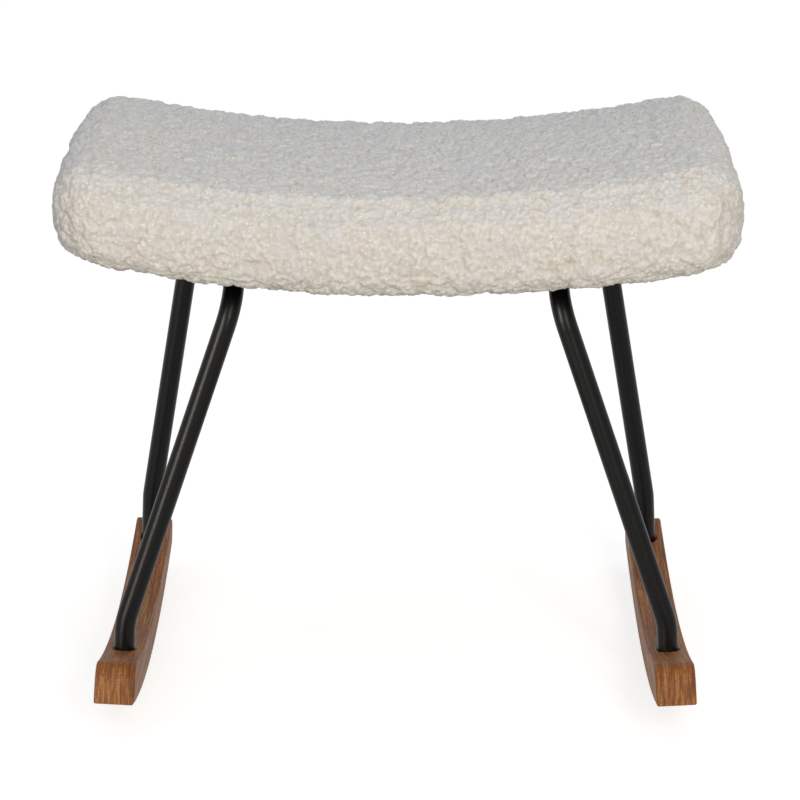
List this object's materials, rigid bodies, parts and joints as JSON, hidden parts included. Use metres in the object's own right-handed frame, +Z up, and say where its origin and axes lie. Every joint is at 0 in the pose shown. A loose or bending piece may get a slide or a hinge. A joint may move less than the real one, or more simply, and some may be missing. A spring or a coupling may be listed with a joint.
{
  "type": "rocking footstool",
  "caption": "Rocking footstool: saddle-shaped seat in curly pile fabric on bent black tube frames and curved oak rockers.",
  "frame": {"origin": "on the floor, at the bottom centre of the bounding box, midway between the rockers and midway along them", "axes": "+Z up, -Y towards the front (the side whose legs stand closer together under the seat), +X to the right seen from the front"},
  "size_m": [0.571, 0.465, 0.472],
  "materials": {
    "oiled_oak": "satin",
    "black_powder_coat": "satin",
    "zinc_plated_steel": "satin",
    "beech_plywood": "matte",
    "upholstery_foam": "matte",
    "polyester_wadding": "matte",
    "black_nonwoven": "matte",
    "curly_pile_fabric": "matte"
  },
  "bodies": {
    "root": {"rocker_left": "oiled_oak", "rocker_right": "oiled_oak", "side_frame_left": "black_powder_coat", "side_frame_right": "black_powder_coat", "front_cross_strap": "black_powder_coat", "rear_cross_strap": "black_powder_coat", "strap_welds": "black_powder_coat", "tube_plugs": "zinc_plated_steel", "rocker_bolts": "zinc_plated_steel", "rocker_bolt_washers": "zinc_plated_steel", "seat_screws": "zinc_plated_steel", "seat_screw_washers": "zinc_plated_steel", "tee_nuts": "zinc_plated_steel", "hem_staples": "zinc_plated_steel", "dust_cover_staples": "zinc_plated_steel", "seat_board": "beech_plywood", "seat_foam": "upholstery_foam", "seat_wadding": "polyester_wadding", "dust_cover": "black_nonwoven", "cover_top_panel": "curly_pile_fabric", "cover_front_panel": "curly_pile_fabric", "cover_rear_panel": "curly_pile_fabric", "cover_left_panel": "curly_pile_fabric", "cover_right_panel": "curly_pile_fabric"}
  },
  "joints": []
}
